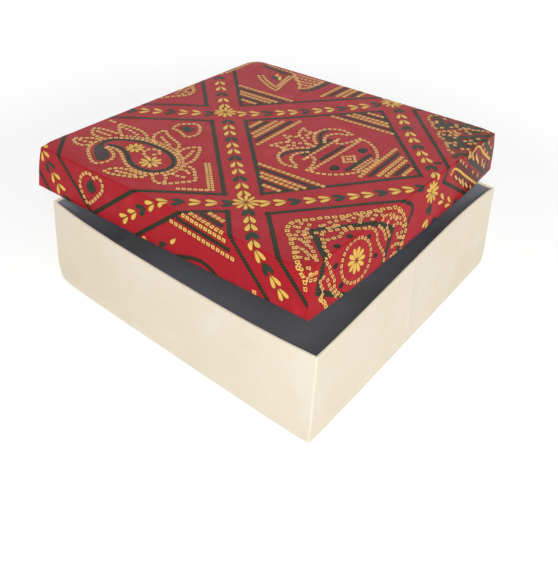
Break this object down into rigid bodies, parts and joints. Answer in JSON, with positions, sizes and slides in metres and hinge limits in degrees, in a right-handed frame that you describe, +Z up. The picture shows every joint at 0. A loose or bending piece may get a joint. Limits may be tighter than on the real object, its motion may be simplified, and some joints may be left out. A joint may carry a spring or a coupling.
{
  "type": "mithai sweet box",
  "caption": "Square paper-covered board box for sweets: deep ivory tray with dark lining, and a lift-off lid in red tie-dye style print lying askew on it.",
  "frame": {"origin": "centre of the tray's underside, on the surface that the box stands on", "axes": "+X to the right, +Y to the back, +Z up out of the tray; the lid has slid to the left and the back"},
  "size_m": [0.2526, 0.2481, 0.1121],
  "materials": {
    "greyboard": "matte uncoated recycled board",
    "stay_tape": "matte brown kraft tape",
    "ivory_paper": "matte ivory covering paper",
    "slate_paper": "matte slate lining paper",
    "white_paper": "matte off-white lining paper",
    "printed_paper": "glossy red art paper printed with a traditional tie-dye style pattern"
  },
  "bodies": {
    "tray": {"base_floor_board": "greyboard", "base_front_wall_board": "greyboard", "base_back_wall_board": "greyboard", "base_left_wall_board": "greyboard", "base_right_wall_board": "greyboard", "base_corner_stay_front_left": "stay_tape", "base_corner_stay_front_right": "stay_tape", "base_corner_stay_back_left": "stay_tape", "base_corner_stay_back_right": "stay_tape", "base_outer_wrap": "ivory_paper", "base_bottom_sheet": "ivory_paper", "base_wall_liner": "slate_paper", "base_floor_liner": "slate_paper"},
    "lid": {"lid_top_board": "greyboard", "lid_front_skirt_board": "greyboard", "lid_back_skirt_board": "greyboard", "lid_left_skirt_board": "greyboard", "lid_right_skirt_board": "greyboard", "lid_corner_stay_front_left": "stay_tape", "lid_corner_stay_front_right": "stay_tape", "lid_corner_stay_back_left": "stay_tape", "lid_corner_stay_back_right": "stay_tape", "lid_printed_wrap": "printed_paper", "lid_skirt_liner": "white_paper", "lid_top_liner": "white_paper"}
  },
  "joints": [
    {"name": "lid_lift", "type": "slide", "parent": "tray", "child": "lid", "axis": [0, 0, 1], "range_m": [0, 0.12]}
  ]
}
